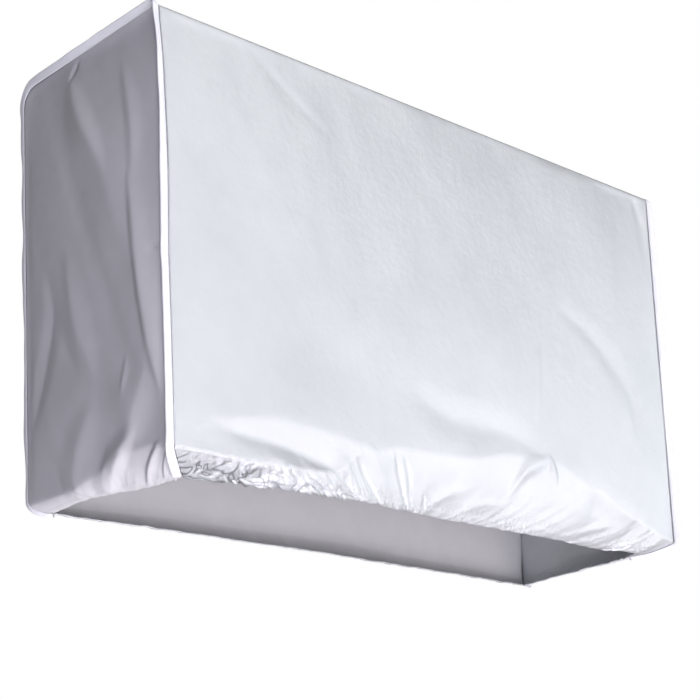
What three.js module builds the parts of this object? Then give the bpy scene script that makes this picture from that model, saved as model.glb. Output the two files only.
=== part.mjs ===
import * as THREE from "three";

// Fitted cover for a wall-hung outdoor unit: a wrap panel over front, top and back, two side
// panels, and a white binding along each of the two seams. Millimetres, +Z up, front towards -Y.
// The origin is under the middle of the top, where the cover hangs on what it covers.

// Driving sizes
const TOP_WIDTH = 900;
const HEM_WIDTH = 862;
const DEPTH = 280;
const HEIGHT = 540;
const FRONT_TOP_RADIUS = 4;
const REAR_TOP_RADIUS = 24;

// Cloth and seams
const SHEET = 1.5;
const HEM_CASING = 3;
const SEAM_SHEET = 1;
const TAPE = 0.8;
const GAP = 0.3;
const FIN_WIDTH = 11;
const FIN_ROOT = 2.5;
const FOLD_CLEARANCE = 26;

// The turned under hem: how high above the hem plane the cloth starts to turn, and how far it
// reaches under the cover. Places are along the width for the front and the back, and along the
// depth for the sides. The first and last rows are the corners.
const FRONT_HEM = [
  { at: -431, height: 15, reach: 44 },
  { at: -350, height: 15, reach: 32 },
  { at: -270, height: 24, reach: 18 },
  { at: -190, height: 52, reach: 16 },
  { at: -90, height: 68, reach: 24 },
  { at: 20, height: 72, reach: 30 },
  { at: 110, height: 92, reach: 30 },
  { at: 180, height: 96, reach: 28 },
  { at: 270, height: 68, reach: 32 },
  { at: 350, height: 38, reach: 38 },
  { at: 431, height: 16, reach: 44 },
];
const REAR_HEM = [
  { at: -431, height: 14, reach: 20 },
  { at: -200, height: 22, reach: 24 },
  { at: 60, height: 26, reach: 28 },
  { at: 250, height: 20, reach: 24 },
  { at: 431, height: 14, reach: 20 },
];
const LEFT_HEM = [
  { at: -140, height: 15, reach: 44 },
  { at: -95, height: 36, reach: 42 },
  { at: -45, height: 44, reach: 36 },
  { at: 5, height: 30, reach: 22 },
  { at: 50, height: 16, reach: 15 },
  { at: 140, height: 14, reach: 20 },
];
const RIGHT_HEM = [
  { at: -140, height: 16, reach: 44 },
  { at: -60, height: 34, reach: 38 },
  { at: 30, height: 30, reach: 30 },
  { at: 140, height: 14, reach: 20 },
];

// Soft folds of each face: a curve from one end through its middle to the other end, the half
// width of the fold, and how far it stands out (a trough is negative). Across is X on the front
// and the back and Y on the sides; up is Z.
const FRONT_FOLDS = [
  { from: [-385, -494], via: [-300, -478], to: [-170, -482], width: 24, rise: 7 },
  { from: [-375, -512], via: [-300, -508], to: [-196, -514], width: 15, rise: -7 },
  { from: [-310, -14], via: [-246, -58], to: [-190, -90], width: 20, rise: -2.5 },
  { from: [420, -10], via: [436, -55], to: [436, -120], width: 22, rise: -4 },
  { from: [366, -50], via: [338, -190], to: [378, -410], width: 28, rise: 4 },
  { from: [215, -236], via: [300, -275], to: [358, -395], width: 30, rise: -4.5 },
  { from: [176, -280], via: [168, -340], to: [160, -396], width: 20, rise: 3 },
  { from: [-75, -388], via: [50, -426], to: [150, -438], width: 32, rise: -5 },
  { from: [108, -482], via: [146, -450], to: [198, -448], width: 16, rise: 6 },
  { from: [-168, -492], via: [-150, -506], to: [-126, -530], width: 14, rise: -4 },
  { from: [-100, -476], via: [-86, -500], to: [-72, -528], width: 14, rise: -4.5 },
];
const REAR_FOLDS = [
  { from: [-260, -60], via: [-230, -220], to: [-270, -430], width: 40, rise: 4 },
  { from: [180, -90], via: [230, -260], to: [190, -450], width: 44, rise: 4 },
];
const LEFT_FOLDS = [
  { from: [34, -24], via: [-6, -104], to: [-62, -226], width: 24, rise: 6 },
  { from: [-22, -140], via: [-74, -290], to: [-122, -462], width: 18, rise: -6 },
  { from: [-78, -236], via: [-98, -340], to: [-120, -450], width: 17, rise: 5 },
  { from: [24, -270], via: [14, -338], to: [-20, -404], width: 20, rise: 3.5 },
  { from: [102, -240], via: [84, -320], to: [126, -430], width: 20, rise: 3.5 },
  { from: [-50, -490], via: [-28, -516], to: [-4, -536], width: 13, rise: 5 },
  { from: [-92, -492], via: [-76, -516], to: [-66, -538], width: 12, rise: 5 },
];
const RIGHT_FOLDS = [
  { from: [-40, -60], via: [-10, -180], to: [-50, -330], width: 30, rise: 5 },
  { from: [70, -220], via: [50, -330], to: [80, -450], width: 28, rise: -4 },
];

// How the fin leans along the seam: 0 is straight out of the corner, 1 lies in the plane of the
// front, top or back, -1 lies in the plane of the side. Along is the share of the seam's length.
const LEFT_LEAN = [
  { at: 0, lean: 0 },
  { at: 0.04, lean: 0.15 },
  { at: 0.17, lean: 0.75 },
  { at: 0.26, lean: 0.75 },
  { at: 0.41, lean: 0.35 },
  { at: 0.52, lean: 0 },
  { at: 1, lean: 0 },
];
const RIGHT_LEAN = [
  { at: 0, lean: 0 },
  { at: 0.25, lean: 0.1 },
  { at: 0.5, lean: 0 },
  { at: 1, lean: 0 },
];

// Rows of the wrap panel from the front hem to the rear hem. A row is a zone, its place in the
// zone from 0 to 1, and how many cells it has across.
const HEM_CELLS = 64;
const FACE_CELLS = 32;
const BACK_CELLS = 16;
const HEM_STEPS = [1, 0.82, 0.64, 0.46, 0.28];
const FRONT_STEPS = [0, 0.05, 0.1, 0.16, 0.22, 0.29, 0.37, 0.46, 0.56, 0.66, 0.76, 0.86, 0.95];
const FINE_FRONT_STEPS = 6;
const REAR_STEPS = [0, 0.06, 0.13, 0.22, 0.32, 0.42, 0.52, 0.62, 0.72, 0.82, 0.91, 0.97];
const TOP_STEPS = [0.18, 0.36, 0.54, 0.7, 0.85];

const FINE_REAR_STEPS = 2;

// Cells across a side panel, from the hem upwards
const SIDE_HEM_CELLS = 22;
const SIDE_FACE_CELLS = 11;

// Gathers of the hem: how far a crest stands out, how much the crests differ, how far a crest
// strays from its even place as a share of a cell, and over how many cells they die out.
const GATHER_RISE = 3.4;
const GATHER_SPREAD = 0.3;
const GATHER_STRAY = 0.28;
const GATHER_FADE_CELLS = 3;

// The hem is doubled over its elastic past this share of the turn.
const CASING_START = 0.7;

// What is left of a fold at its two ends, and the pieces that its curve is measured in
const FOLD_END_SHARE = 0.35;
const FOLD_PIECES = 10;

const QUARTER_TURN = Math.PI / 2;

const cloth = new THREE.MeshStandardMaterial({ color: 0xcfd5dc, roughness: 0.42, metalness: 0.35 });
const tape = new THREE.MeshStandardMaterial({ color: 0xf2f4f7, roughness: 0.8, metalness: 0 });

const mix = (a, b, share) => a + (b - a) * share;
const soft = (share) => share * share * (3 - 2 * share);
const hump = (share) => (Math.abs(share) < 1 ? (1 - share * share) ** 2 : 0);

// Value of one column of a table, eased between its rows.
function tableValue(table, at, column) {
  const next = table.findIndex((row) => row.at > at);
  if (next === 0) {
    return table[0][column];
  }
  if (next < 0) {
    return table.at(-1)[column];
  }
  const low = table[next - 1];
  const high = table[next];
  return mix(low[column], high[column], soft((at - low.at) / (high.at - low.at)));
}

// Height of the folds of one face at a place on it.
function foldRise(folds, across, up) {
  let total = 0;
  for (const fold of folds) {
    let nearest = Infinity;
    let along = 0;
    for (let step = 0; step <= FOLD_PIECES; step += 1) {
      const share = step / FOLD_PIECES;
      const [x, z] = [0, 1].map((axis) => {
        const first = mix(fold.from[axis], fold.via[axis], share);
        return mix(first, mix(fold.via[axis], fold.to[axis], share), share);
      });
      const distance = Math.hypot(across - x, up - z);
      if (distance < nearest) {
        nearest = distance;
        along = share;
      }
    }
    const fade = mix(FOLD_END_SHARE, 1, Math.sin(Math.PI * along));
    total += fold.rise * hump(nearest / fold.width) * fade;
  }
  return total;
}

// Half of the width at a height: the hem draws the cover in.
const halfWidth = (z) => mix(TOP_WIDTH, HEM_WIDTH, Math.min(1, -z / HEIGHT)) / 2;

// The folds die out towards the seams, where the binding holds the cloth straight.
const seamFade = (distance) => soft(Math.min(1, Math.max(0, distance) / FOLD_CLEARANCE));

// Places across a row of cells, a little uneven where the cloth is gathered.
function places(cells, gathered) {
  const list = [];
  for (let index = 0; index <= cells; index += 1) {
    const inner = index > 0 && index < cells;
    const shift = gathered && inner ? GATHER_STRAY * Math.sin(index * 2.4) : 0;
    list.push(((index + shift) / cells) * 2 - 1);
  }
  return list;
}

// Rise of a gather: crest and trough take turns, uneven along the hem.
function gatherRise(index, cells) {
  const fade = Math.min(1, Math.min(index, cells - index) / GATHER_FADE_CELLS);
  const sign = index % 2 === 0 ? 1 : -1;
  return sign * fade * GATHER_RISE * (1 - GATHER_SPREAD + GATHER_SPREAD * Math.sin(index * 1.9));
}

// Where the cloth is on its way from the face (turn 0) to the hem edge (turn 1), which way it
// faces there, and how far a gather and a fold of the face stand out of it.
function turnUnder(hem, turn, gather = 0, fold = 0) {
  const angle = turn * QUARTER_TURN;
  const normal = new THREE.Vector2(Math.cos(angle) / hem.reach, Math.sin(angle) / hem.height);
  normal.normalize();
  return {
    inward: hem.reach * (1 - Math.cos(angle)),
    z: -HEIGHT + hem.height * (1 - Math.sin(angle)),
    out: normal.x,
    down: normal.y,
    rise: gather * Math.sin(angle) + fold * (1 - Math.sin(angle)),
  };
}

const hemAt = (table, at) => ({
  height: tableValue(table, at, "height"),
  reach: tableValue(table, at, "reach"),
});

// Middle of the wrap's cloth at a row, before the side seams are shaped. The place across runs
// from -1 at the left seam to 1 at the right seam.
function wrapPoint(row, across, gather) {
  const facing = row.zone.startsWith("rear") ? 1 : -1;
  const hemTable = facing < 0 ? FRONT_HEM : REAR_HEM;
  const folds = facing < 0 ? FRONT_FOLDS : REAR_FOLDS;
  const hem = hemAt(hemTable, (across * HEM_WIDTH) / 2);
  const face = (facing * DEPTH) / 2;
  const foldAt = (x, z) => foldRise(folds, x, z) * seamFade(halfWidth(z) - Math.abs(x));
  if (row.zone === "frontHem" || row.zone === "rearHem") {
    const { z, inward } = turnUnder(hem, row.at);
    const x = across * (halfWidth(z) - turnUnder(hemTable[0], row.at).inward);
    const turn = turnUnder(hem, row.at, gather, foldAt(x, z));
    const y = face + facing * (turn.out * turn.rise - inward);
    return new THREE.Vector3(x, y, z - turn.down * turn.rise);
  }
  if (row.zone === "front" || row.zone === "rear") {
    const radius = facing < 0 ? FRONT_TOP_RADIUS : REAR_TOP_RADIUS;
    const z = mix(-HEIGHT + hem.height, SHEET / 2 - radius, row.at);
    const x = across * halfWidth(z);
    return new THREE.Vector3(x, face + facing * foldAt(x, z), z);
  }
  const x = (across * TOP_WIDTH) / 2;
  if (row.zone === "top") {
    const y = mix(-DEPTH / 2 + FRONT_TOP_RADIUS, DEPTH / 2 - REAR_TOP_RADIUS, row.at);
    return new THREE.Vector3(x, y, SHEET / 2);
  }
  const radius = facing < 0 ? FRONT_TOP_RADIUS : REAR_TOP_RADIUS;
  const angle = row.at * QUARTER_TURN;
  const y = face - facing * radius * (1 - Math.cos(angle));
  return new THREE.Vector3(x, y, SHEET / 2 - radius * (1 - Math.sin(angle)));
}

// Rows from the front hem up, over the top and down the back. The rows of the front and of the
// back are as many as each other, so that a side panel can span between them.
const frontRows = [
  ...HEM_STEPS.map((at) => ({ zone: "frontHem", at, cells: HEM_CELLS })),
  ...FRONT_STEPS.map((at, index) => ({
    zone: "front",
    at,
    cells: index < FINE_FRONT_STEPS ? HEM_CELLS : FACE_CELLS,
  })),
  { zone: "frontTop", at: 0, cells: FACE_CELLS },
];
const topRows = [
  { zone: "frontTop", at: 0.5, cells: FACE_CELLS },
  { zone: "frontTop", at: 1, cells: FACE_CELLS },
  ...TOP_STEPS.map((at) => ({ zone: "top", at, cells: BACK_CELLS })),
  { zone: "rearTop", at: 1, cells: BACK_CELLS },
  { zone: "rearTop", at: 0.75, cells: BACK_CELLS },
  { zone: "rearTop", at: 0.5, cells: BACK_CELLS },
];
const rearRows = [
  { zone: "rearTop", at: 0.25, cells: BACK_CELLS },
  { zone: "rearTop", at: 0, cells: BACK_CELLS },
  ...REAR_STEPS.toReversed().map((at, index) => ({
    zone: "rear",
    at,
    cells: REAR_STEPS.length - index <= FINE_REAR_STEPS ? FACE_CELLS : BACK_CELLS,
  })),
  ...HEM_STEPS.toReversed().map((at) => ({ zone: "rearHem", at, cells: HEM_CELLS })),
];
const wrapRows = [...frontRows, ...topRows, ...rearRows];

// Directions that the wrap and the side panel face at a row of the seam.
function facings(row, side) {
  const turn = row.zone.endsWith("Hem") ? row.at * QUARTER_TURN : 0;
  const sideways = new THREE.Vector3(side * Math.cos(turn), 0, -Math.sin(turn));
  const angles = { frontTop: row.at, rearTop: row.at, top: 1 };
  const climb = (angles[row.zone] ?? 0) * QUARTER_TURN - turn;
  const facing = row.zone.startsWith("rear") ? 1 : -1;
  return { wrap: new THREE.Vector3(0, facing * Math.cos(climb), Math.sin(climb)), sideways };
}

// The seam of one side: for each row its corner point, the way out along the fin, and the way
// across the fin towards the side panel.
function seamOf(side, leanTable) {
  const points = wrapRows.map((row) => wrapPoint(row, side, 0));
  const lengths = [0];
  for (let index = 1; index < points.length; index += 1) {
    lengths.push(lengths[index - 1] + points[index].distanceTo(points[index - 1]));
  }
  return points.map((point, index) => {
    const before = points[Math.max(0, index - 1)];
    const after = points[Math.min(points.length - 1, index + 1)];
    const along = after.clone().sub(before).normalize();
    const lean = tableValue(leanTable, lengths[index] / lengths.at(-1), "lean");
    const { wrap, sideways } = facings(wrapRows[index], side);
    const out = wrap.multiplyScalar(1 - lean).addScaledVector(sideways, 1 + lean);
    out.addScaledVector(along, -out.dot(along)).normalize();
    const across = along.clone().cross(out).multiplyScalar(side).normalize();
    return { point, out, across };
  });
}

// A sheet of cloth from rows of points: each row is stitched to the next, then the middle surface
// gets its two faces and a rim. Points carry their place in the row and the thickness there.
// Flip turns the outside round, and lowFirst says for each row which way its cells are split.
function sheetGeometry(rows, flip, lowFirst) {
  const indexOf = new Map();
  const points = [];
  for (const row of rows) {
    for (const item of row) {
      if (!indexOf.has(item)) {
        indexOf.set(item, points.length);
        points.push(item);
      }
    }
  }
  const triangles = [];
  const addTriangle = (a, b, c) => {
    if (a !== b && b !== c && c !== a) {
      triangles.push(flip ? [a, c, b] : [a, b, c]);
    }
  };
  for (let level = 0; level + 1 < rows.length; level += 1) {
    const low = rows[level];
    const high = rows[level + 1];
    let i = 0;
    let j = 0;
    while (i + 1 < low.length || j + 1 < high.length) {
      const lowNext = i + 1 < low.length ? low[i + 1].place : Infinity;
      const highNext = j + 1 < high.length ? high[j + 1].place : Infinity;
      if (lowNext < highNext || (lowNext === highNext && lowFirst(level))) {
        addTriangle(indexOf.get(low[i]), indexOf.get(low[i + 1]), indexOf.get(high[j]));
        i += 1;
      } else {
        addTriangle(indexOf.get(low[i]), indexOf.get(high[j + 1]), indexOf.get(high[j]));
        j += 1;
      }
    }
  }
  const normals = points.map(() => new THREE.Vector3());
  for (const [a, b, c] of triangles) {
    const edge = points[b].position.clone().sub(points[a].position);
    const face = edge.cross(points[c].position.clone().sub(points[a].position));
    normals[a].add(face);
    normals[b].add(face);
    normals[c].add(face);
  }
  const positions = [];
  for (const share of [0.5, -0.5]) {
    points.forEach((item, index) => {
      const offset = normals[index].clone().normalize().multiplyScalar(share * item.thickness);
      positions.push(...item.position.clone().add(offset));
    });
  }
  const count = points.length;
  const edges = new Set(triangles.flatMap(([a, b, c]) => [`${a},${b}`, `${b},${c}`, `${c},${a}`]));
  const index = [];
  for (const [a, b, c] of triangles) {
    index.push(a, b, c, a + count, c + count, b + count);
    for (const [start, end] of [[a, b], [b, c], [c, a]]) {
      if (!edges.has(`${end},${start}`)) {
        index.push(end, start, start + count, end, start + count, end + count);
      }
    }
  }
  const geometry = new THREE.BufferGeometry();
  geometry.setAttribute("position", new THREE.Float32BufferAttribute(positions, 3));
  geometry.setIndex(index);
  geometry.computeVertexNormals();
  return geometry;
}

const SEAM_OFFSET = (SEAM_SHEET + GAP) / 2;
const ALLOWANCE = FIN_WIDTH - TAPE - GAP;
const ALLOWANCE_PLACE = 1.1;

// The two points that end a sheet at the seam: where it turns out of the corner, and the end of
// the edge that is turned out into the binding. The wrap lies on one side of the fin's middle
// (hand -1) and the side panel on the other (hand 1).
function seamEnd(station, hand, place) {
  const corner = station.point.clone().addScaledVector(station.across, hand * SEAM_OFFSET);
  const end = corner.clone().addScaledVector(station.out, ALLOWANCE);
  return {
    corner: { place, thickness: SEAM_SHEET, position: corner },
    end: { place: place * ALLOWANCE_PLACE, thickness: SEAM_SHEET, position: end },
  };
}

const isCasing = (row) => row.zone.endsWith("Hem") && row.at > CASING_START;

function wrapPanel(leftSeam, rightSeam) {
  const rows = wrapRows.map((row, level) => {
    const gathered = row.cells === HEM_CELLS;
    const inner = places(row.cells, gathered).map((place, index) => ({
      place,
      thickness: isCasing(row) ? HEM_CASING : SHEET,
      position: wrapPoint(row, place, gathered ? gatherRise(index, row.cells) : 0),
    }));
    const left = seamEnd(leftSeam[level], -1, -1);
    const right = seamEnd(rightSeam[level], -1, 1);
    return [left.end, left.corner, ...inner.slice(1, -1), right.corner, right.end];
  });
  return sheetGeometry(rows, false, () => true);
}

// One end panel, spanned between the front and the rear part of its seam. The places run from the
// front to the back, and the rows from the top to the hem.
function sidePanel(side, seam, hemTable, folds) {
  const pairs = frontRows.map((row, index) => {
    const level = frontRows.length - 1 - index;
    return { row: frontRows[level], front: level, rear: frontRows.length + topRows.length + index };
  });
  const top = topRows.map((row, index) => frontRows.length + index);
  const start = seam[top[0]].point.y;
  const end = seam[top.at(-1)].point.y;
  const topEnds = top.map((level) =>
    seamEnd(seam[level], 1, ((seam[level].point.y - start) / (end - start)) * 2 - 1),
  );
  const edgeRow = topEnds.map((item) =>
    Math.abs(item.corner.place) === 1 ? item.end : { ...item.end, place: item.corner.place },
  );
  const topRow = topEnds.map((item) => item.corner);
  const rows = [edgeRow, [edgeRow[0], ...topRow, edgeRow.at(-1)]];
  for (const { row, front, rear } of pairs) {
    const isHem = row.zone === "frontHem";
    const cells = row.cells === HEM_CELLS ? SIDE_HEM_CELLS : SIDE_FACE_CELLS;
    const inner = places(cells, isHem).map((place, index) => {
      const share = (place + 1) / 2;
      const y = mix(seam[front].point.y, seam[rear].point.y, share);
      const hem = hemAt(hemTable, y);
      const foldAt = (z) =>
        foldRise(folds, y, z) * seamFade(Math.min(y + DEPTH / 2, DEPTH / 2 - y, -z));
      let position;
      if (isHem) {
        const { z, inward } = turnUnder(hem, row.at);
        const turn = turnUnder(hem, row.at, gatherRise(index, cells), foldAt(z));
        const x = halfWidth(z) - inward + turn.out * turn.rise;
        position = new THREE.Vector3(side * x, y, z - turn.down * turn.rise);
      } else {
        const level = mix(seam[front].point.z, seam[rear].point.z, share);
        const ends = mix(hemTable[0].height, hemTable.at(-1).height, share);
        const down = row.zone === "front" ? 1 - row.at : 0;
        const z = level + down * (hem.height - ends);
        position = new THREE.Vector3(side * (halfWidth(z) + foldAt(z)), y, z);
      }
      return { place, thickness: isCasing(row) ? HEM_CASING : SHEET, position };
    });
    const first = seamEnd(seam[front], 1, -1);
    const last = seamEnd(seam[rear], 1, 1);
    rows.push([first.end, first.corner, ...inner.slice(1, -1), last.corner, last.end]);
  }
  // Each cell of a turned out edge is split as its neighbour in the wrap is, so that they stay apart.
  return sheetGeometry(rows, side > 0, (level) => (level === 0) !== (side > 0));
}

// White tape folded over the two turned out edges: a channel swept along the seam.
function binding(seam, side) {
  const inner = SEAM_OFFSET + SEAM_SHEET / 2 + GAP;
  const outer = inner + TAPE;
  const bevel = 1;
  const section = [
    [outer, FIN_ROOT],
    [outer, FIN_WIDTH - bevel],
    [outer - bevel, FIN_WIDTH],
    [-outer + bevel, FIN_WIDTH],
    [-outer, FIN_WIDTH - bevel],
    [-outer, FIN_ROOT],
    [-inner, FIN_ROOT],
    [-inner, FIN_WIDTH - TAPE],
    [inner, FIN_WIDTH - TAPE],
    [inner, FIN_ROOT],
  ].map(([across, out]) => new THREE.Vector2(across, out));
  const positions = [];
  for (const station of seam) {
    for (const corner of section) {
      const point = station.point.clone().addScaledVector(station.across, corner.x);
      positions.push(...point.addScaledVector(station.out, corner.y));
    }
  }
  const size = section.length;
  const index = [];
  const add = (a, b, c) => (side < 0 ? index.push(a, b, c) : index.push(a, c, b));
  for (let level = 0; level + 1 < seam.length; level += 1) {
    for (let corner = 0; corner < size; corner += 1) {
      const next = (corner + 1) % size;
      const a = level * size + corner;
      const b = level * size + next;
      // Split as the turned out edges inside it are.
      if (section[corner].y < section[next].y === side < 0) {
        add(a, b, b + size);
        add(a, b + size, a + size);
      } else {
        add(a, b, a + size);
        add(b, b + size, a + size);
      }
    }
  }
  const last = (seam.length - 1) * size;
  for (const [a, b, c] of THREE.ShapeUtils.triangulateShape(section, [])) {
    add(a, c, b);
    add(last + a, last + b, last + c);
  }
  const geometry = new THREE.BufferGeometry();
  geometry.setAttribute("position", new THREE.Float32BufferAttribute(positions, 3));
  geometry.setIndex(index);
  geometry.computeVertexNormals();
  return geometry;
}

const leftSeam = seamOf(-1, LEFT_LEAN);
const rightSeam = seamOf(1, RIGHT_LEAN);

const cover = new THREE.Group();
function addPiece(name, geometry, material) {
  const mesh = new THREE.Mesh(geometry, material);
  mesh.name = name;
  cover.add(mesh);
}
addPiece("wrap_panel", wrapPanel(leftSeam, rightSeam), cloth);
addPiece("side_panel_left", sidePanel(-1, leftSeam, LEFT_HEM, LEFT_FOLDS), cloth);
addPiece("side_panel_right", sidePanel(1, rightSeam, RIGHT_HEM, RIGHT_FOLDS), cloth);
addPiece("binding_left", binding(leftSeam, -1), tape);
addPiece("binding_right", binding(rightSeam, 1), tape);

export default cover;
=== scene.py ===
"""Fitted silver cloth cover: fine cloth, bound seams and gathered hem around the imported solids."""

import bpy
import numpy as np
from mathutils import Matrix, Vector


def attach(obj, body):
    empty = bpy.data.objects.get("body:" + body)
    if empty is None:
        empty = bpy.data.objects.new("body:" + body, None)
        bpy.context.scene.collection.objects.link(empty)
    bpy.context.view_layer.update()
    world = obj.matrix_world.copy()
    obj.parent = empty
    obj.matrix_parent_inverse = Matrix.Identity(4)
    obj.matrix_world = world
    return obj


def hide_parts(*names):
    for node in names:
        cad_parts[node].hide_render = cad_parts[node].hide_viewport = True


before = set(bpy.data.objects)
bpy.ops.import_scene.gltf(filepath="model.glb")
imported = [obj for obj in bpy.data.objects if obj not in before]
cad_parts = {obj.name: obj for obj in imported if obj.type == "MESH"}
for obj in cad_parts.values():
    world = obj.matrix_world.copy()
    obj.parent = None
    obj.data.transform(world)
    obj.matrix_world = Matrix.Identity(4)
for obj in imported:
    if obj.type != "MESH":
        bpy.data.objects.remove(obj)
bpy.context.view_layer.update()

# Sizes of the cover in millimetres, as in the solids; meshes are scaled to metres at the end
MM = 0.001
TOP_WIDTH = 900.0
HEM_WIDTH = 862.0
DEPTH = 280.0
HEIGHT = 540.0
TOP_LEVEL = 0.75
FRONT_TOP_RADIUS = 4.0
REAR_TOP_RADIUS = 24.0
FIN_WIDTH = 11.0

# Cloth, hem, seams, tape and stitches, in millimetres: thinner than the solids, as real ones are
CLOTH = 0.7
HEM_CASING = 2.0
TAPE = 0.45
SEAM_GAP = 0.12
TAPE_GAP = 0.1
TAPE_EDGE = 0.12
TAPE_BEVEL = 2.2
SEAM_OFFSET = (CLOTH + SEAM_GAP) / 2.0
FIN_ROOT = 0.5
ALLOWANCE_STEPS = (1.2, 4.5, 9.6)
CASING_START = 0.72
TAPE_STEP = 2.0
STITCH_PITCH = 3.2
STITCH_LENGTH = 2.3
STITCH_INSET = 3.4
STITCH_START = 6.0
STITCH_SIDES = 6
STITCH = {
    "along": [0.0, 0.18, 0.5, 0.82, 1.0],
    "lift": [-0.25, 0.12, 0.2, 0.12, -0.25],
    "radius": [0.10, 0.24, 0.27, 0.24, 0.10],
}

# Distances in millimetres in which folds die out at a seam, at a side panel's seam and below the
# top, in which the top's ripples die out at its sides, and the gathers at the ends of a hem
FOLD_CLEARANCE = 24.0
SIDE_CLEARANCE = 19.2
TOP_CLEARANCE = 14.0
TOP_INSET = 40.0
END_CLEARANCE = 10.0

# Section of a fold: how round its crest is, the share taken off again so that the crest keeps its
# height, and how full its flanks are. Its ends fade out and get narrower, and its two sides blend
# into each other across the crest
CREST_ROUNDING = 0.02
CREST_DROP = 0.13
CREST_FULLNESS = 0.6
FOLD_TIP = 0.04
FADE_POWER = 0.8
TIP_WIDTH = 0.45
CREST_BLEND = 6.0

# Faint ripples of each face: their random grids, heights, pitches across and up, and slants
SEED = 27
GRID_SIZE = 64
BROAD_RIPPLE = 1.2
FINE_RIPPLE = 0.35
SIDE_FINE_RIPPLE = 0.56
TOP_RIPPLE = 0.8
BROAD_PITCH = (130.0, 170.0)
FINE_PITCH = (34.0, 80.0)
SIDE_BROAD_PITCH = (90.0, 150.0)
SIDE_FINE_PITCH = (24.0, 90.0)
TOP_PITCH = (90.0, 70.0)
FINE_SLANT = 0.3
SIDE_FINE_SLANT = -0.4

# Side panels bulge: height, how evenly it is spread, and where it dies out below and above. The
# last is how far above the hem a panel's rows follow the height at which the hem turns
SIDE_BULGE = 7.5
SIDE_FULLNESS = 2.0
BULGE_FOOT = 120.0
BULGE_HEAD = 160.0
SIDE_HEM_LIFT = 140.0

# Gathers: pitch along the hem and away from it, how far from the hem's edge they run, and how
# suddenly they die out there
FINE_CREASES = {"pitch": (9.0, 34.0), "run": 26.0, "power": 1}
LOOSE_CREASES = {"pitch": (21.0, 60.0), "run": 60.0, "power": 2}
ROUND_PUCKERS = {"pitch": (15.0, 13.0), "run": 26.0, "power": 2}
LOOSE_SHARE = 1.4

# Creases of unit pitch: their grids, how far they wander and how sharp they are
CREASE_GRID = (0.8, 0.9)
WANDER_GRID = (2.1, 1.7)
WANDER = 0.7
WANDER_UP = 0.6
CREASE_ROUNDING = 0.03

# Curls: the bump whose level lines they follow, the step between two lines and their sharpness
CURL_GRID = (2.4, 1.9)
SMALL_CURL_GRID = (1.0, 0.9)
SMALL_CURLS = 0.3
LOOP_PITCH = 0.30
LOOP_POWER = 0.6

# The hem: length of its turned cloth against the straight line, and folds lost towards its edge
HEM_ARC = 1.08
HEM_CALM = 0.7

# The seam and its fin: steps of the seam in each zone, waver in degrees, and its pitch
SEAM_STEPS = 200
FIN_WAVER = 7.0
FIN_WAVER_PITCH = 42.0

# The tape: share by which its thickness varies, crown, points round its fold, distances at which
# it starts and ends, and waver of its edge
TAPE_SWELL = 0.06
TAPE_SWELL_PITCH = 14.0
TAPE_CROWN = 0.1
TAPE_TURNS = 9
TAPE_START = 2.0
TAPE_END = 1.0
EDGE_WAVER = 0.35
EDGE_WAVER_PITCH = 26.0

# Silver cloth: tones and where one turns into the other, noises by metre, and the strength and
# depth of each bump
SILVER_METAL = 0.6
SILVER_DARK = (0.585, 0.605, 0.62)
SILVER_LIGHT = (0.645, 0.665, 0.675)
SILVER_TURN = (0.3, 0.7)
SILVER_ROUGHNESS = (0.40, 0.50)
TONE_NOISE = {"Scale": 9.0, "Detail": 8.0, "Roughness": 0.62}
CRINKLE_NOISE = {"Scale": 60.0, "Detail": 5.0, "Roughness": 0.6}
PUCKER_NOISE = {"Scale": 130.0, "Detail": 2.0, "Distortion": 1.6}
WEAVE_NOISE = {"Scale": 900.0, "Detail": 1.0}
CRINKLE_BUMP = (0.60, 0.001)
PUCKER_BUMP = (0.8, 0.002)
WEAVE_BUMP = (0.3, 0.0002)

# Fine puckers in the silver cloth start and are full at these levels, in metres
PUCKER_LEVELS = (-0.512, -0.534)

# Painted shade of the creases at the foot of the left front corner, as thin dark curls: their noise,
# the step between two lines, their width and painted shade tone, and where they start and are full, in
# metres
CURL_NOISE = {"Scale": 36.0, "Detail": 1.0, "Distortion": 0.7}
CURL_STEP = 0.10
CURL_LINE = 0.05
CURL_PAINTED_SHADE = 0.30
CURL_ACROSS = (-0.24, -0.32)
CURL_DEEP = (-0.080, -0.105)
CURL_UNDER = (-0.139, -0.134)

# Woven materials: colour, roughness, scale of the threads and the strength of a painted glow, which
# makes them brighter than their lamps light them
REVERSE = ((0.62, 0.62, 0.63), 0.85, 800.0, 0.0)
# The tape's last value is a painted glow: it shines a little brighter than its lamps light it
WHITE_TAPE = ((0.78, 0.79, 0.82), 0.75, 1100.0, 0.06)
WHITE_THREAD = ((0.80, 0.82, 0.86), 0.6, 2500.0, 0.0)
# Colour of the painted glow
PAINTED_GLOW_COLOUR = (0.95, 0.97, 1.0, 1.0)
WOVEN_NOISE = {"Scale": 40.0, "Detail": 4.0}
WOVEN_DARK = 0.9
THREAD_DETAIL = 2.0
THREAD_BUMP = (0.4, 0.0003)

# Camera, in degrees and metres, as solved from the photograph
AZIMUTH = -43.469
ELEVATION = -18.950
ROLL = -2.488
DISTANCE = 2.2214
TARGET = np.array([-0.0374, 0.0, -0.2976])
LENS = 87.53
SENSOR = 36.0

# Floor well below the cover: level, half its size, looks and the glow that only the camera sees
FLOOR_LEVEL = -3.3
FLOOR_HALF = 6.0
FLOOR_COLOUR = (0.82, 0.82, 0.82, 1.0)
FLOOR_ROUGHNESS = 0.9
FLOOR_GLOW = 0.62

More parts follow.
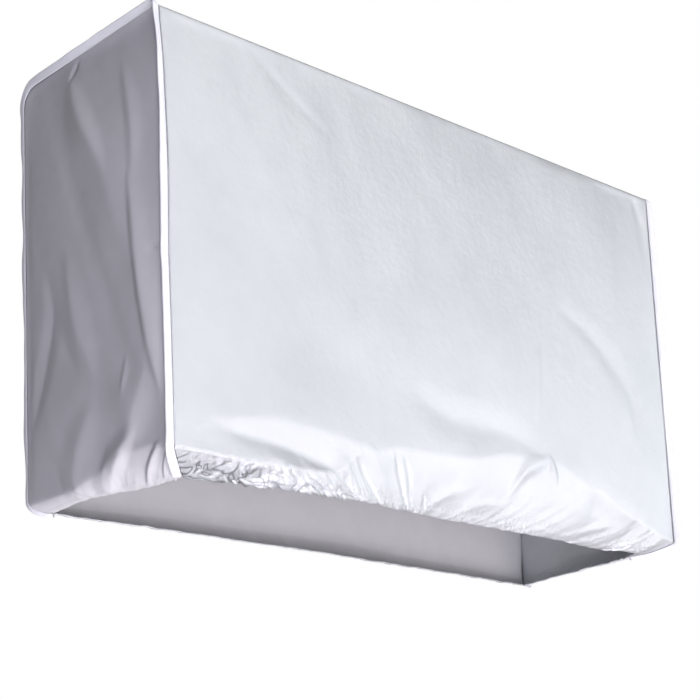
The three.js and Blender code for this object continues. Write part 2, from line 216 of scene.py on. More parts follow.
# Light: soft lamps round the cover as name, direction, size, power and colour
FILL_STRENGTH = 0.02
CENTRE = (0.0, 0.0, -0.3)
LAMP_DISTANCE = 3.0
WHITE = (1.0, 1.0, 1.0)
LIGHTS = [
    ("front_left", (-0.35, -0.8, -0.6), (1.6, 2.0), 36.5, (0.94, 0.93, 1.0)),
    ("front_right", (0.5, -0.85, -0.2), (2.2, 2.0), 26.0, (1.0, 0.97, 0.99)),
    ("front_low", (0.0, -0.6, -0.8), (2.2, 2.0), 40.0, (1.0, 0.93, 0.99)),
    ("left_low", (-0.5, -0.4, -0.8), (2.0, 1.6), 9.5, (0.72, 0.68, 1.0)),
    ("right_low", (0.5, -0.4, -0.8), (2.0, 1.6), 7.0, (1.0, 0.88, 0.92)),
    ("front_high", (0.3, -0.8, 0.5), (2.0, 2.0), 21.0, (0.97, 1.0, 1.0)),
    ("right", (0.85, -0.5, 0.1), (1.6, 2.0), 16.5, (0.92, 0.96, 1.0)),
    ("left", (-0.65, -0.71, 0.0), (0.9, 1.5), 35.5, (0.90, 0.87, 1.0)),
    ("top", (-0.15, 0.0, 1.0), (1.6, 1.6), 36.0, WHITE),
    ("below", (-0.1, 0.3, -0.95), (1.8, 1.2), 26.0, (0.95, 0.92, 1.0)),
    ("back", (0.1, 1.0, 0.3), (2.0, 2.0), 36.0, WHITE),
    ("far_right", (1.0, 0.3, 0.1), (1.6, 1.6), 12.0, WHITE),
]

# The turned under hem: where the cloth starts to turn above the hem plane, its reach inwards,
# and how much of the turn is a sharp crease at its start
FRONT_HEM = {
    "at": [-431, -350, -270, -205, -150, -90, 20, 110, 180, 270, 350, 380, 408, 431],
    "height": [15, 15, 16, 20, 54, 68, 72, 92, 96, 68, 38, 28, 20, 16],
    "reach": [44, 32, 18, 16, 18, 24, 30, 30, 28, 32, 36, 24, 22, 44],
    "crease": [0.5, 0.6, 0.6, 0.6, 0.6, 0.6, 0.6, 0.6, 0.6, 0.6, 0.6, 0.6, 0.6, 0.5],
}
REAR_HEM = {
    "at": [-431, -200, 60, 250, 431],
    "height": [14, 22, 26, 20, 14],
    "reach": [20, 24, 28, 24, 20],
    "crease": [0.15, 0.15, 0.15, 0.15, 0.15],
}
LEFT_HEM = {
    "at": [-140, -95, -45, 5, 50, 140],
    "height": [15, 27, 30, 16, 9, 10],
    "reach": [44, 42, 36, 22, 15, 20],
    "crease": [0.5, 0.4, 0.3, 0.2, 0.15, 0.15],
}
RIGHT_HEM = {
    "at": [-140, -60, 30, 140],
    "height": [16, 34, 30, 14],
    "reach": [44, 38, 30, 20],
    "crease": [0.5, 0.3, 0.2, 0.15],
}

# Folds of each face: points of the crest, half width, rise, and the share of the width on the
# crest's left hand side as it is walked (below 1 makes that side the steep one)
FRONT_FOLDS = [
    ([(-370, -488), (-335, -474), (-295, -468), (-240, -470), (-180, -476), (-120, -486)], 28, 5.0, 4.0),
    ([(-374, -490), (-330, -494), (-281, -498), (-240, -505), (-205, -513), (-186, -526), (-172, -548)],
     24, -5.5, 0.8),
    ([(-310, -14), (-246, -58), (-190, -90)], 20, -0.7, 0.7),
    ([(420, -10), (436, -55), (436, -120)], 20, -3.0, 1.0),
    ([(364, -60), (345, -184), (357, -331), (378, -410)], 34, 1.3, 0.9),
    ([(236, -226), (302, -258), (364, -326), (370, -384)], 30, -2.4, 1.0),
    ([(176, -286), (168, -340), (162, -390)], 16, 2.0, 0.6),
    ([(-60, -398), (0, -420), (100, -422), (160, -440)], 44, -3.6, 0.9),
    ([(214, -462), (270, -484), (330, -506), (390, -530)], 22, -2.0, 1.4),
    ([(112, -486), (132, -462), (150, -453), (176, -446)], 12, 3.4, 0.8),
    ([(180, -442), (186, -452), (198, -464)], 8, 3.0, 0.8),
    ([(-166, -492), (-151, -508), (-124, -536)], 9, -2.6, 0.8),
    ([(-102, -478), (-90, -500), (-74, -534)], 9, -2.8, 0.8),
    ([(-86, -480), (-74, -498), (-68, -532)], 8, -2.4, 0.8),
    ([(-50, -508), (-44, -518), (-42, -534)], 7, -1.8, 0.8),
    ([(-40, -526), (-10, -508), (30, -496)], 11, 1.6, 0.8),
    ([(20, -530), (60, -508), (110, -498)], 11, 1.6, 0.8),
    ([(230, -536), (280, -518), (330, -510)], 10, 1.5, 0.8),
]
REAR_FOLDS = [
    ([(-260, -60), (-230, -220), (-270, -430)], 40, 4.0, 1.0),
    ([(180, -90), (230, -260), (190, -450)], 44, 4.0, 1.0),
    ([(-60, -200), (-20, -330), (-50, -480)], 30, -3.0, 1.0),
]
LEFT_FOLDS = [
    ([(42, -6), (20, -49), (-2, -97), (-32, -153), (-58, -229), (-86, -285), (-97, -340), (-113, -401),
      (-124, -440), (-136, -478)], 76, 6.4, 0.8),
    ([(-84, -196), (-92, -250), (-98, -300), (-104, -345), (-114, -404), (-126, -460)], 26, 4.6, 0.5),
    ([(36, -28), (21, -62), (2, -98), (-16, -127), (-38, -164)], 22, 6.4, 1.8),
    ([(-70, -50), (-82, -92), (-90, -136), (-90, -190)], 20, 2.4, 0.7),
    ([(88, -262), (78, -312), (90, -355), (104, -395), (126, -440)], 27, -3.4, 0.9),
    ([(44, -262), (30, -328), (17, -362), (-4, -404)], 30, 4.0, 0.9),
    ([(70, -325), (50, -362), (26, -400)], 20, -2.0, 1.0),
    ([(20, -2), (26, -14), (36, -28)], 8, -2.4, 1.0),
    ([(-112, -292), (-124, -297), (-138, -306)], 7, -2.4, 1.0),
    ([(-68, -408), (-66, -426), (-62, -448)], 10, 1.5, 0.7),
    ([(6, -452), (28, -482), (42, -512), (46, -540)], 40, 3.6, 0.9),
    ([(-100, -430), (-80, -470), (-62, -500)], 36, 6.0, 2.0),
    ([(-72, -496), (-50, -510), (-26, -530), (-4, -556)], 15, 6.4, 1.8),
    ([(-118, -514), (-103, -525), (-87, -540), (-72, -562)], 12, 4.6, 0.6),
    ([(-136, -520), (-126, -530), (-116, -544), (-108, -562)], 8, 3.0, 0.6),
    ([(44, -530), (31, -540), (8, -550)], 9, 3.0, 0.6),
]
RIGHT_FOLDS = [
    ([(-60, -50), (-30, -170), (-70, -400)], 52, 3.6, 1.6),
    ([(76, -160), (52, -330), (64, -470)], 46, -2.8, 0.7),
]

# Gathers along each hem: how far creases lean along it as they rise, and how strong the
# straight creases and the round puckers are, in millimetres
FRONT_GATHERS = {
    "at": [-431, -300, -200, -150, -70, 30, 150, 300, 431],
    "lean": [0, 0, -0.4, -0.5, 0.0, 0.9, 1.4, 1.6, 0.6],
    "crease": [0.4, 0.5, 0.7, 0.8, 0.7, 0.65, 0.6, 0.6, 0.7],
    "pucker": [-3.0, -3.4, -2.6, -0.5, -0.1, -0.1, -0.1, -0.2, -0.9],
}
REAR_GATHERS = {
    "at": [-431, 0, 431],
    "lean": [0.2, -0.3, 0.2],
    "crease": [0.5, 0.5, 0.5],
    "pucker": [-0.5, -0.1, -0.5],
}
SIDE_GATHERS = {
    "at": [-140, -90, -20, 60, 140],
    "lean": [-0.8, -0.6, -0.4, 0.2, 0.4],
    "crease": [0.6, 0.5, 0.5, 0.5, 0.4],
    "pucker": [-1.8, -0.5, -0.2, -0.2, -0.2],
}

# How far the left front corner sways inwards along its height, where its tape isn't straight,
# and the share of the half width from the seam in which the front follows it
LEFT_SWAY = {
    "at": [-540, -450, -330, -190, -90, -4],
    "shift": [0.0, 1.0, 1.5, 5.0, 4.0, 0.0],
}
SWAY_WIDTH = 1.0 / 9.0

# How far the fin is turned along the seam, in degrees: 0 stands out diagonally from the corner,
# 45 lies in the plane of the front or back, and about 75 lies flat under the hem
LEFT_FIN = {
    "at": [0, 0.03, 0.06, 0.17, 0.26, 0.41, 0.50, 0.58, 0.64, 0.93, 1],
    "turn": [72, 66, 42, 37, 37, 18, 6, -16, -56, -60, -72],
}
RIGHT_FIN = {
    "at": [0, 0.03, 0.05, 0.10, 0.16, 0.28, 0.38, 0.43, 0.56, 0.62, 0.94, 0.97, 1],
    "turn": [72, 30, 0, 8, 42, 22, 20, 58, 50, 0, 0, 30, 72],
}


def soft(share):
    """Eases a share from 0 to 1."""
    share = np.clip(share, 0.0, 1.0)
    return share * share * (3.0 - 2.0 * share)


def crest(share):
    """Section of a fold from its crest (0) to its foot (1): steepest near the crest."""
    share = np.clip(np.sqrt(share**2 + CREST_ROUNDING) - CREST_DROP, 0.0, 1.0)
    return (1.0 - share) ** 2 * (1.0 + CREST_FULLNESS * share)


def smooth_line(points, steps=7):
    """Smooth curve through a few points, as many short straight pieces."""
    line = np.array(points, float)
    ends = np.concatenate([[2 * line[0] - line[1]], line, [2 * line[-1] - line[-2]]])
    t = np.linspace(0.0, 1.0, steps, endpoint=False)[:, None]
    found = []
    for a, b, c, d in zip(ends, ends[1:], ends[2:], ends[3:]):
        bend = 2 * a - 5 * b + 4 * c - d + t * (3 * (b - c) + d - a)
        found.append(b + 0.5 * t * (c - a + t * bend))
    return np.concatenate([*found, line[-1:]])


def table_value(table, at, column):
    """Value of one column of a table, eased between its rows."""
    places = np.array(table["at"], float)
    values = np.array(table[column], float)
    at = np.clip(at, places[0], places[-1])
    low = np.clip(np.searchsorted(places, at, side="right") - 1, 0, len(places) - 2)
    share = soft((at - places[low]) / (places[low + 1] - places[low]))
    return values[low] + (values[low + 1] - values[low]) * share


def fold_rise(folds, across, up):
    """Height of the folds of one face at places on it."""
    total = np.zeros(np.broadcast(across, up).shape)
    for points, width, rise, left_share in folds:
        curve = smooth_line(points)
        near = np.full(total.shape, np.inf)
        along = np.zeros(total.shape)
        hand = np.zeros(total.shape)
        for index, (a, b) in enumerate(zip(curve, curve[1:])):
            step = b - a
            dx, dz = across - a[0], up - a[1]
            share = np.clip((dx * step[0] + dz * step[1]) / (step @ step), 0.0, 1.0)
            distance = np.hypot(dx - share * step[0], dz - share * step[1])
            closer = distance < near
            near = np.where(closer, distance, near)
            along = np.where(closer, (index + share) / (len(curve) - 1), along)
            hand = np.where(closer, (step[0] * dz - step[1] * dx) / np.hypot(*step), hand)
        left = soft(0.5 + hand / CREST_BLEND)
        reach = width * (1.0 + (left_share - 1.0) * left)
        fade = np.sin(np.pi * (FOLD_TIP + (1.0 - 2.0 * FOLD_TIP) * along)) ** FADE_POWER
        total += rise * crest(near / (reach * (TIP_WIDTH + (1.0 - TIP_WIDTH) * fade))) * fade
    return total


class Ripples:
    """Smooth random height over a plane: one random grid for each size of ripple."""

    def __init__(self, seed):
        self.random = np.random.default_rng(seed)
        self.grids = {}

    def at(self, across, up, pitch, name):
        """Height from -1 to 1; pitch is the size of a grid cell across and up."""
        if name not in self.grids:
            self.grids[name] = self.random.uniform(-1.0, 1.0, (GRID_SIZE, GRID_SIZE))
        grid = self.grids[name]
        a, u = np.asarray(across) / pitch[0], np.asarray(up) / pitch[1]
        i, j = np.floor(a).astype(int), np.floor(u).astype(int)
        s, t = a - i, u - j
        s = s**3 * (s * (6.0 * s - 15.0) + 10.0)
        t = t**3 * (t * (6.0 * t - 15.0) + 10.0)
        right, over = (i + 1) % GRID_SIZE, (j + 1) % GRID_SIZE
        i, j = i % GRID_SIZE, j % GRID_SIZE
        low = grid[i, j] * (1 - s) + grid[right, j] * s
        high = grid[i, over] * (1 - s) + grid[right, over] * s
        return low * (1 - t) + high * t

    def along(self, at, pitch, name):
        """Height from -1 to 1 along a line."""
        return self.at(at, 0.0, (pitch, pitch), name)


ripples = Ripples(SEED)


def half_width(z):
    """Half of the cover's width at a level: it narrows towards the hem."""
    share = np.clip(-z / HEIGHT, 0.0, 1.0)
    return (TOP_WIDTH + (HEM_WIDTH - TOP_WIDTH) * share) / 2.0


def turn_under(table, at, turn):
    """Hem at a turn from 0, the face, to 1, its edge: how far in, how high and which way it faces.

    The way it faces is given by its parts outwards and downwards.
    """
    height = table_value(table, at, "height")
    reach = table_value(table, at, "reach")
    crease = table_value(table, at, "crease")
    angle = turn * np.pi / 2.0
    inward = reach * ((1.0 - crease) * (1.0 - np.cos(angle)) + crease * np.sin(angle))
    level = -HEIGHT + height * (1.0 - np.sin(angle))
    out = height * np.cos(angle)
    down = reach * ((1.0 - crease) * np.sin(angle) + crease * np.cos(angle))
    size = np.hypot(out, down)
    return inward, level, out / size, down / size


def hem_run(table, at, turn):
    """Cloth's distance from the hem edge, and its level if it were unrolled below the face."""
    height = table_value(table, at, "height")
    arc = HEM_ARC * np.hypot(height, table_value(table, at, "reach"))
    distance = arc * (1.0 - turn)
    return distance, -HEIGHT + height - arc + distance


def ridges(along, up, name):
    """Wandering creases about one unit apart, from -1 to 1."""
    shift = WANDER * ripples.at(along, up, WANDER_GRID, name + "_shift")
    found = ripples.at(along + shift, up + WANDER_UP * shift, CREASE_GRID, name)
    return 1.0 - 2.0 * np.sqrt(found**2 + CREASE_ROUNDING)


def loops(along, up, name):
    """Nested curls of crumpled cloth: creases that follow the level lines of a smooth bump."""
    bump_level = ripples.at(along, up, CURL_GRID, name)
    bump_level = bump_level + SMALL_CURLS * ripples.at(along, up, SMALL_CURL_GRID, name + "_b")
    return 1.0 - 2.0 * np.abs(np.sin(np.pi * bump_level / LOOP_PITCH / 2.0)) ** LOOP_POWER


def gather_form(form, along, distance, kind, name):
    """One form of gathers at its own pitch, dying out away from the hem's edge."""
    pitch_along, pitch_away = kind["pitch"]
    fade = np.exp(-((distance / kind["run"]) ** kind["power"]))
    return form(along / pitch_along, distance / pitch_away, name) * fade


def gathers(table, at, distance, half, name):
    """Gathers of a hem: fine at its edge, fewer and softer as the cloth runs away from it."""
    lean = table_value(table, at, "lean")
    crease = table_value(table, at, "crease")
    pucker = table_value(table, at, "pucker")
    leaned = at - lean * distance
    fine = gather_form(ridges, leaned, distance, FINE_CREASES, name + "_fine")
    loose = gather_form(ridges, leaned, distance, LOOSE_CREASES, name + "_loose")
    curls = gather_form(loops, at, distance, ROUND_PUCKERS, name + "_round")
    ends = soft((half - np.abs(at)) / END_CLEARANCE)
    return (crease * (fine + LOOSE_SHARE * loose) + pucker * curls) * ends


# The wrap's path from the front hem to the rear hem: one unit of the path for each zone. In the
# falling zones the place in the zone runs against the path
ZONES = ["frontHem", "front", "frontTop", "top", "rearTop", "rear", "rearHem"]
FALLING = {"frontHem", "rearTop", "rear"}

# Front and rear of the wrap: the way it faces, and its hem, folds, gathers and top radius
WRAP_FACES = {
    "front": (-1.0, FRONT_HEM, FRONT_FOLDS, FRONT_GATHERS, FRONT_TOP_RADIUS),
    "rear": (1.0, REAR_HEM, REAR_FOLDS, REAR_GATHERS, REAR_TOP_RADIUS),
}

# Rows up each zone of the wrap and cells along a row, and the same for a side panel
WRAP_ROWS = [
    ("frontHem", 24, 480),
    ("front", 112, 240),
    ("frontTop", 5, 240),
    ("top", 12, 60),
    ("rearTop", 9, 60),
    ("rear", 40, 120),
    ("rearHem", 12, 240),
]
SIDE_HEM_ROWS = 22
SIDE_FACE_ROWS = 120
SIDE_ARC_ROWS = 8
SIDE_HEM_CELLS = 170
SIDE_FACE_CELLS = 110


def zone_place(path):
    """Zone of a place on the path, and the place in it: 0 at the face and 1 at the top or edge."""
    index = min(int(path), len(ZONES) - 1)
    zone = ZONES[index]
    share = path - index
    return zone, 1.0 - share if zone in FALLING else share


def wrap_point(path, across):
    """Middle of the wrap's cloth: across runs from -1 at the left seam to 1 at the right seam."""
    zone, place = zone_place(path)
    facing, hem, folds, table, radius = WRAP_FACES["rear" if zone.startswith("rear") else "front"]
    hem_x = across * HEM_WIDTH / 2.0
    face = facing * DEPTH / 2.0
    if zone.endswith("Hem"):
        inward, z, out, down = turn_under(hem, hem_x, place)
        corner = turn_under(hem, np.full_like(hem_x, -HEM_WIDTH / 2.0), place)[0]
        x = across * (half_width(z) - corner)
        distance, level = hem_run(hem, hem_x, place)
        rise = face_rise(zone, folds, hem_x, level) * (1.0 - HEM_CALM * place**3)
        rise = rise + gathers(table, hem_x, distance, HEM_WIDTH / 2.0, zone[:4])
        return np.stack([x, face + facing * (out * rise - inward), z - down * rise], 1)
    if zone in ("front", "rear"):
        height = table_value(hem, hem_x, "height")
        z = -HEIGHT + height + (TOP_LEVEL - radius + HEIGHT - height) * place
        x = across * half_width(z)
        if zone == "front":
            near_seam = soft(1.0 - (1.0 + across) / SWAY_WIDTH)
            x = x + table_value(LEFT_SWAY, z, "shift") * near_seam
        distance = hem_run(hem, hem_x, 0.0)[0] + z + HEIGHT - height
        rise = face_rise(zone, folds, x, z)
        rise = rise + gathers(table, hem_x, distance, HEM_WIDTH / 2.0, zone[:4])
        return np.stack([x, face + facing * rise, z], 1)
    if zone == "top":
        x = across * TOP_WIDTH / 2.0
        y = -DEPTH / 2 + FRONT_TOP_RADIUS
        y = y + (DEPTH - FRONT_TOP_RADIUS - REAR_TOP_RADIUS) * place + 0.0 * x
        inner = soft((TOP_WIDTH / 2 - np.abs(x)) / TOP_INSET) * np.sin(np.pi * place)
        z = TOP_LEVEL + TOP_RIPPLE * inner * ripples.at(x, y, TOP_PITCH, "top")
        return np.stack([x, y, z], 1)
    angle = place * np.pi / 2.0
    y = face - facing * radius * (1.0 - np.cos(angle)) + 0.0 * across
    z = TOP_LEVEL - radius * (1.0 - np.sin(angle)) + 0.0 * across
    return np.stack([across * half_width(z), y, z], 1)


def face_rise(zone, folds, x, z):
    """Folds and faint ripples of the front or the back, dying out at the seams and the top."""
    seam = soft((half_width(z) - np.abs(x)) / FOLD_CLEARANCE)
    top = soft(-z / TOP_CLEARANCE)
    broad = BROAD_RIPPLE * ripples.at(x, z, BROAD_PITCH, zone[:4] + "_broad")
    fine = FINE_RIPPLE * ripples.at(x + FINE_SLANT * z, z, FINE_PITCH, zone[:4] + "_fine")
    return (fold_rise(folds, x, z) + broad + fine) * seam * top


def unit(vectors):
    """Vectors of length one."""
    return vectors / np.maximum(np.linalg.norm(vectors, axis=-1, keepdims=True), 1e-9)


class Seam:
    """The seam of one side: its corner points, the way out along the fin and the way across it."""

    def __init__(self, side, fin):
        self.paths = np.linspace(0.0, len(ZONES), SEAM_STEPS * len(ZONES) + 1)
        ends = [wrap_point(path, np.array([float(side)]))[0] for path in self.paths]
        self.points = np.array(ends)
        steps = np.linalg.norm(np.diff(self.points, axis=0), axis=1)
        self.length = np.concatenate([[0.0], np.cumsum(steps)])
        share = self.length / self.length[-1]
        wraps, sides = zip(*[self.facings(path, side) for path in self.paths])
        along = unit(np.gradient(self.points, axis=0))
        out = np.array(wraps) + np.array(sides)
        out = unit(out - along * np.sum(out * along, axis=1, keepdims=True))
        waver = FIN_WAVER * ripples.along(self.length, FIN_WAVER_PITCH, f"waver{side}")
        angle = np.radians(table_value(fin, share, "turn") + waver)[:, None]
        toward_side = unit(np.cross(along, out)) * side
        out = out * np.cos(angle) + toward_side * np.sin(angle)
        self.out = unit(out)
        self.across = unit(np.cross(along, self.out)) * side

    @staticmethod
    def facings(path, side):
        """Directions that the wrap and the side panel face at a place on the seam."""
        zone, place = zone_place(path)
        turn = place * np.pi / 2.0 if zone.endswith("Hem") else 0.0
        climb = place if zone.endswith("Top") else float(zone == "top")
        lift = climb * np.pi / 2.0 - turn
        facing = 1.0 if zone.startswith("rear") else -1.0
        wrap = np.array([0.0, facing * np.cos(lift), np.sin(lift)])
        return wrap, np.array([side * np.cos(turn), 0.0, -np.sin(turn)])

    def at(self, paths):
        """Points, ways out and ways across at places on the path."""
        found = []
        for values in (self.points, self.out, self.across):
            found.append(np.stack([np.interp(paths, self.paths, values[:, k]) for k in range(3)], -1))
        return found[0], unit(found[1]), unit(found[2])

    def path_at(self, length):
        """Place on the path at a length along the seam."""
        return np.interp(length, self.length, self.paths)


class Cloth:
    """A sheet of cloth under construction: its middle points, their thickness and triangles."""

    def __init__(self):
        self.points = []
        self.thickness = []
        self.triangles = []
        self.count = 0

    def add_points(self, points, thickness):
        """Adds points of one thickness and gives their numbers."""
        first = self.count
        self.points.append(points)
        self.thickness.append(np.full(len(points), float(thickness)))
        self.count += len(points)
        return np.arange(first, self.count)

    def add_rows(self, rows):
        """Rows of points from low to high; two rows may have different numbers of cells."""
        placed = [self.add_points(points, thickness) for points, thickness in rows]
        for low, high in zip(placed, placed[1:]):
            i = j = 0
            while i + 1 < len(low) or j + 1 < len(high):
                low_next = (i + 1) / (len(low) - 1)
                high_next = (j + 1) / (len(high) - 1)
                if i + 1 < len(low) and (j + 1 == len(high) or low_next <= high_next):
                    self.triangles.append((low[i], low[i + 1], high[j]))
                    i += 1
                else:
                    self.triangles.append((low[i], high[j + 1], high[j]))
                    j += 1
        return placed

    def add_allowance(self, border, seam, paths, hand):
        """Turns the cloth out at a seam, from its border points to the edge inside the tape."""
        corners, outs, acrosses = seam.at(paths)
        last = border
        for reach in ALLOWANCE_STEPS:
            points = corners + outs * reach + acrosses * hand * SEAM_OFFSET
            row = self.add_points(points, CLOTH)
            for a, b, c, d in zip(last, last[1:], row[1:], row):
                self.triangles += [(a, b, c), (a, c, d)]
            last = row

    def build(self, name, flip, materials):
        """Closed mesh: outer face, inner face and rim."""
        middle = np.concatenate(self.points)
        thick = np.concatenate(self.thickness)[:, None]
        triangles = np.array(self.triangles)
        if flip:
            triangles = triangles[:, ::-1]
        a, b, c = (middle[triangles[:, k]] for k in range(3))
        facing = np.cross(b - a, c - a)
        normals = np.zeros_like(middle)
        for k in range(3):
            np.add.at(normals, triangles[:, k], facing)
        normals = unit(normals)
        points = np.concatenate([middle + normals * thick / 2, middle - normals * thick / 2])
        edges = np.concatenate([triangles[:, [0, 1]], triangles[:, [1, 2]], triangles[:, [2, 0]]])
        twins = edges[:, 1] * self.count + edges[:, 0]
        s, e = edges[~np.isin(edges[:, 0] * self.count + edges[:, 1], twins)].T
        rim = np.concatenate([
            np.stack([e, s, s + self.count], 1),
            np.stack([e, s + self.count, e + self.count], 1),
        ])
        inner = triangles[:, ::-1] + self.count
        faces = np.concatenate([triangles, inner, rim])
        slots = np.repeat([0, 1, 0], [len(triangles), len(inner), len(rim)])
        return make_mesh(name, points, faces, slots, materials)


def make_mesh(name, points, faces, slots, materials):
    """Smooth mesh object from points in millimetres and faces of one kind."""
    mesh = bpy.data.meshes.new(name)
    mesh.vertices.add(len(points))
    mesh.vertices.foreach_set("co", (points * MM).astype(np.float32).ravel())
    mesh.loops.add(faces.size)
    mesh.loops.foreach_set("vertex_index", faces.astype(np.int32).ravel())
    mesh.polygons.add(len(faces))
    starts = np.arange(0, faces.size, faces.shape[1], dtype=np.int32)
    mesh.polygons.foreach_set("loop_start", starts)
    mesh.polygons.foreach_set("material_index", slots.astype(np.int32))
    mesh.polygons.foreach_set("use_smooth", np.ones(len(faces), bool))
    mesh.update()
    mesh.validate()
    for material in materials:
        mesh.materials.append(material)
    piece = bpy.data.objects.new(name, mesh)
    bpy.context.scene.collection.objects.link(piece)
    return piece


def wrap_cloth(left, right):
    """Wrap panel: rows up the front, over the top and down the back, turned out at both seams."""
    rows, paths = [], []
    for index, (zone, count, cells) in enumerate(WRAP_ROWS):
        across = np.linspace(-1.0, 1.0, cells + 1)
        for place in np.arange(count) / count:
            path = index + place
            points = wrap_point(path, across)
            for end, seam in ((0, left), (-1, right)):
                corner, _, way = seam.at(np.array([path]))
                points[end] = corner[0] - way[0] * SEAM_OFFSET
            casing = zone.endswith("Hem") and zone_place(path)[1] > CASING_START
            rows.append((points, HEM_CASING if casing else CLOTH))
            paths.append(path)
    cloth = Cloth()
    placed = cloth.add_rows(rows)
    paths = np.array(paths)
    cloth.add_allowance([row[0] for row in placed][::-1], left, paths[::-1], -1.0)
    cloth.add_allowance([row[-1] for row in placed], right, paths, -1.0)
    return cloth


def side_point(side, hem, folds, front, rear, across, turn):
    """Middle of a side panel between a front and a rear corner of the seam."""
    share = (across + 1.0) / 2.0
    y = front[1] + (rear[1] - front[1]) * share
    z = front[2] + (rear[2] - front[2]) * share
    hem_y = across * DEPTH / 2.0
    edges = soft((DEPTH / 2 - np.abs(hem_y)) / SIDE_CLEARANCE) * soft(-z / TOP_CLEARANCE)
    name = f"side{side}"
    if turn is None:
        height = table_value(hem, hem_y, "height")
        ends = table_value(hem, np.array([-DEPTH / 2, DEPTH / 2]), "height")
        lift = height - np.interp(share, [0, 1], ends)
        z = z + lift * soft(1.0 - (z + HEIGHT) / SIDE_HEM_LIFT)
        distance = hem_run(hem, hem_y, 0.0)[0] + z + HEIGHT - height
        rise = side_rise(folds, y, z, name) * edges
        rise = rise + gathers(SIDE_GATHERS, hem_y, distance, DEPTH / 2.0, name)
        return np.stack([side * (half_width(z) + rise), y, z], 1)
    inward, z, out, down = turn_under(hem, hem_y, turn)
    distance, level = hem_run(hem, hem_y, turn)
    rise = side_rise(folds, hem_y, level, name) * edges * (1.0 - HEM_CALM * turn**3)
    rise = rise + gathers(SIDE_GATHERS, hem_y, distance, DEPTH / 2.0, name)
    return np.stack([side * (half_width(z) - inward + out * rise), y, z - down * rise], 1)


def side_rise(folds, y, z, name):
    """Folds, faint ripples and the bulge of a side panel."""
    broad = BROAD_RIPPLE * ripples.at(y, z, SIDE_BROAD_PITCH, name + "_broad")
    slanted = y + SIDE_FINE_SLANT * z
    fine = SIDE_FINE_RIPPLE * ripples.at(slanted, z, SIDE_FINE_PITCH, name + "_fine")
    full = 1.0 - np.abs(2.0 * y / DEPTH).clip(0.0, 1.0) ** SIDE_FULLNESS
    bulge = SIDE_BULGE * full * soft((z + HEIGHT) / BULGE_FOOT) * soft(-z / BULGE_HEAD)
    return fold_rise(folds, y, z) + broad + fine + bulge


def side_cloth(side, hem, folds, seam):
    """Side panel: rows from its hem to the top seam, turned out along the whole seam.

    A row starts on the front of the seam's path and ends on its rear, as far from the path's end.
    """
    rows, front_paths, rear_paths = [], [], []
    face, arc, top = (ZONES.index(zone) for zone in ("front", "frontTop", "top"))
    plan = [(share, 1.0 - share) for share in np.arange(SIDE_HEM_ROWS) / SIDE_HEM_ROWS]
    plan += [(face + share, None) for share in np.arange(SIDE_FACE_ROWS) / SIDE_FACE_ROWS]
    plan += [(arc + share, None) for share in np.linspace(0.0, 1.0, SIDE_ARC_ROWS)]
    for front_path, turn in plan:
        rear_path = len(ZONES) - front_path
        cells = SIDE_FACE_CELLS if turn is None else SIDE_HEM_CELLS
        across = np.linspace(-1.0, 1.0, cells + 1)
        ends, _, ways = seam.at(np.array([front_path, rear_path]))
        points = side_point(side, hem, folds, ends[0], ends[1], across, turn)
        points[[0, -1]] = ends + ways * SEAM_OFFSET
        casing = turn is not None and turn > CASING_START
        rows.append((points, HEM_CASING if casing else CLOTH))
        front_paths.append(front_path)
        rear_paths.append(rear_path)
    top_paths = np.linspace(top, top + 1.0, SIDE_FACE_CELLS + 1)
    corners, _, ways = seam.at(top_paths)
    rows[-1] = (corners + ways * SEAM_OFFSET, CLOTH)
    cloth = Cloth()
    placed = cloth.add_rows(rows)
    border = [row[0] for row in placed] + list(placed[-1][1:-1]) + [row[-1] for row in placed][::-1]
    paths = np.concatenate([front_paths, top_paths[1:-1], rear_paths[::-1]])
    cloth.add_allowance(border[::-1], seam, paths[::-1], 1.0)
    return cloth


def tape_section():
    """Folded tape across the fin, as (out, across) points round its closed outline."""
    inner = CLOTH + SEAM_GAP / 2.0 + TAPE_GAP
    outer = inner + TAPE
    turns = np.radians(np.linspace(-90.0, 90.0, TAPE_TURNS))
    tip = FIN_WIDTH - outer
    outside = [(tip + outer * np.cos(a), outer * np.sin(a)) for a in turns]
    inside = [(tip + inner * np.cos(a), inner * np.sin(a)) for a in turns[::-1]]
    near, mid = FIN_ROOT, (FIN_ROOT + tip) / 2.0
    crown, edge = outer + TAPE_CROWN, inner + TAPE_EDGE
    low = [(near, -edge), (near + TAPE_BEVEL, -outer), (mid, -crown)]
    high = [(mid, crown), (near + TAPE_BEVEL, outer), (near, edge)]
    return np.array(low + outside + high + [(near, inner)] + inside + [(near, -inner)])


